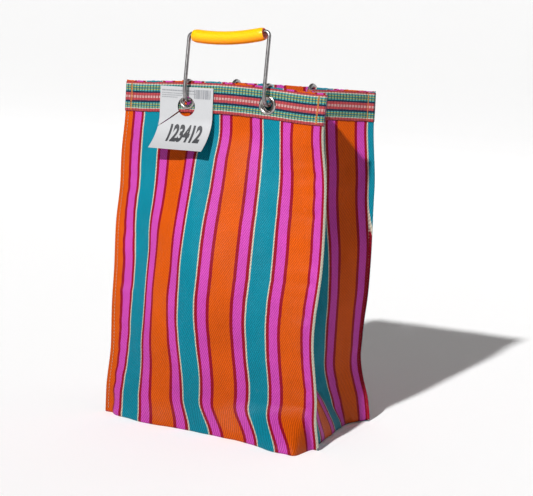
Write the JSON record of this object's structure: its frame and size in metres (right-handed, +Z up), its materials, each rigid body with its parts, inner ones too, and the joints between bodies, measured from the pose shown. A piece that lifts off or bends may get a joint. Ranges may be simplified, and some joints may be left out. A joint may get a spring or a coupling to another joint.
{
  "type": "striped shopping bag",
  "caption": "Open-topped woven plastic shopping bag, folded side gussets, webbing rim, eyelets, wire bail handles with tube grips and a swing tag.",
  "frame": {"origin": "middle of the flat underside of the base panel", "axes": "+Z up, front panel faces -Y, handles hinge about X, height is the longest extent"},
  "size_m": [0.322, 0.248, 0.5333],
  "materials": {
    "striped_cloth": "woven plastic stripes, slight gloss",
    "gusset_cloth": "woven plastic stripes, slight gloss",
    "webbing": "patterned woven tape, matt",
    "thread": "sewing thread",
    "eyelet_metal": "plated, polished",
    "handle_wire": "drawn steel wire",
    "grip_vinyl": "soft vinyl tube, satin",
    "tag_paper": "coated card, matt"
  },
  "bodies": {
    "bag": {"back_panel": "striped_cloth", "base_panel": "striped_cloth", "end_stitch_back_left": "thread", "end_stitch_back_right": "thread", "end_stitch_front_left": "thread", "end_stitch_front_right": "thread", "eyelet_back_left": "eyelet_metal", "eyelet_back_right": "eyelet_metal", "eyelet_front_left": "eyelet_metal", "eyelet_front_right": "eyelet_metal", "front_panel": "striped_cloth", "gusset_left": "gusset_cloth", "gusset_right": "gusset_cloth", "seam_thread_back_left": "thread", "seam_thread_back_right": "thread", "seam_thread_front_left": "thread", "seam_thread_front_right": "thread", "side_stitch_back_left": "thread", "side_stitch_back_right": "thread", "side_stitch_front_left": "thread", "side_stitch_front_right": "thread", "washer_back_left": "eyelet_metal", "washer_back_right": "eyelet_metal", "washer_front_left": "eyelet_metal", "washer_front_right": "eyelet_metal", "webbing_back": "webbing", "webbing_front": "webbing", "webbing_left": "webbing", "webbing_right": "webbing"},
    "front_handle": {"handle_wire_front": "handle_wire", "grip_front": "grip_vinyl"},
    "back_handle": {"handle_wire_back": "handle_wire", "grip_back": "grip_vinyl"},
    "tag": {"swing_tag": "tag_paper"}
  },
  "joints": [
    {"name": "front_handle_hinge", "type": "hinge", "parent": "bag", "child": "front_handle", "pos_m": [0, -0.0753, 0.4535], "axis": [1, 0, 0], "range_deg": [-172.5, 96]},
    {"name": "back_handle_hinge", "type": "hinge", "parent": "bag", "child": "back_handle", "pos_m": [0, 0.0753, 0.4535], "axis": [1, 0, 0], "range_deg": [-268.5, 0]},
    {"name": "tag_swing", "type": "hinge", "parent": "bag", "child": "tag", "pos_m": [-0.056, -0.0803, 0.4415], "axis": [0, 1, 0], "range_deg": [-35, 35]}
  ]
}
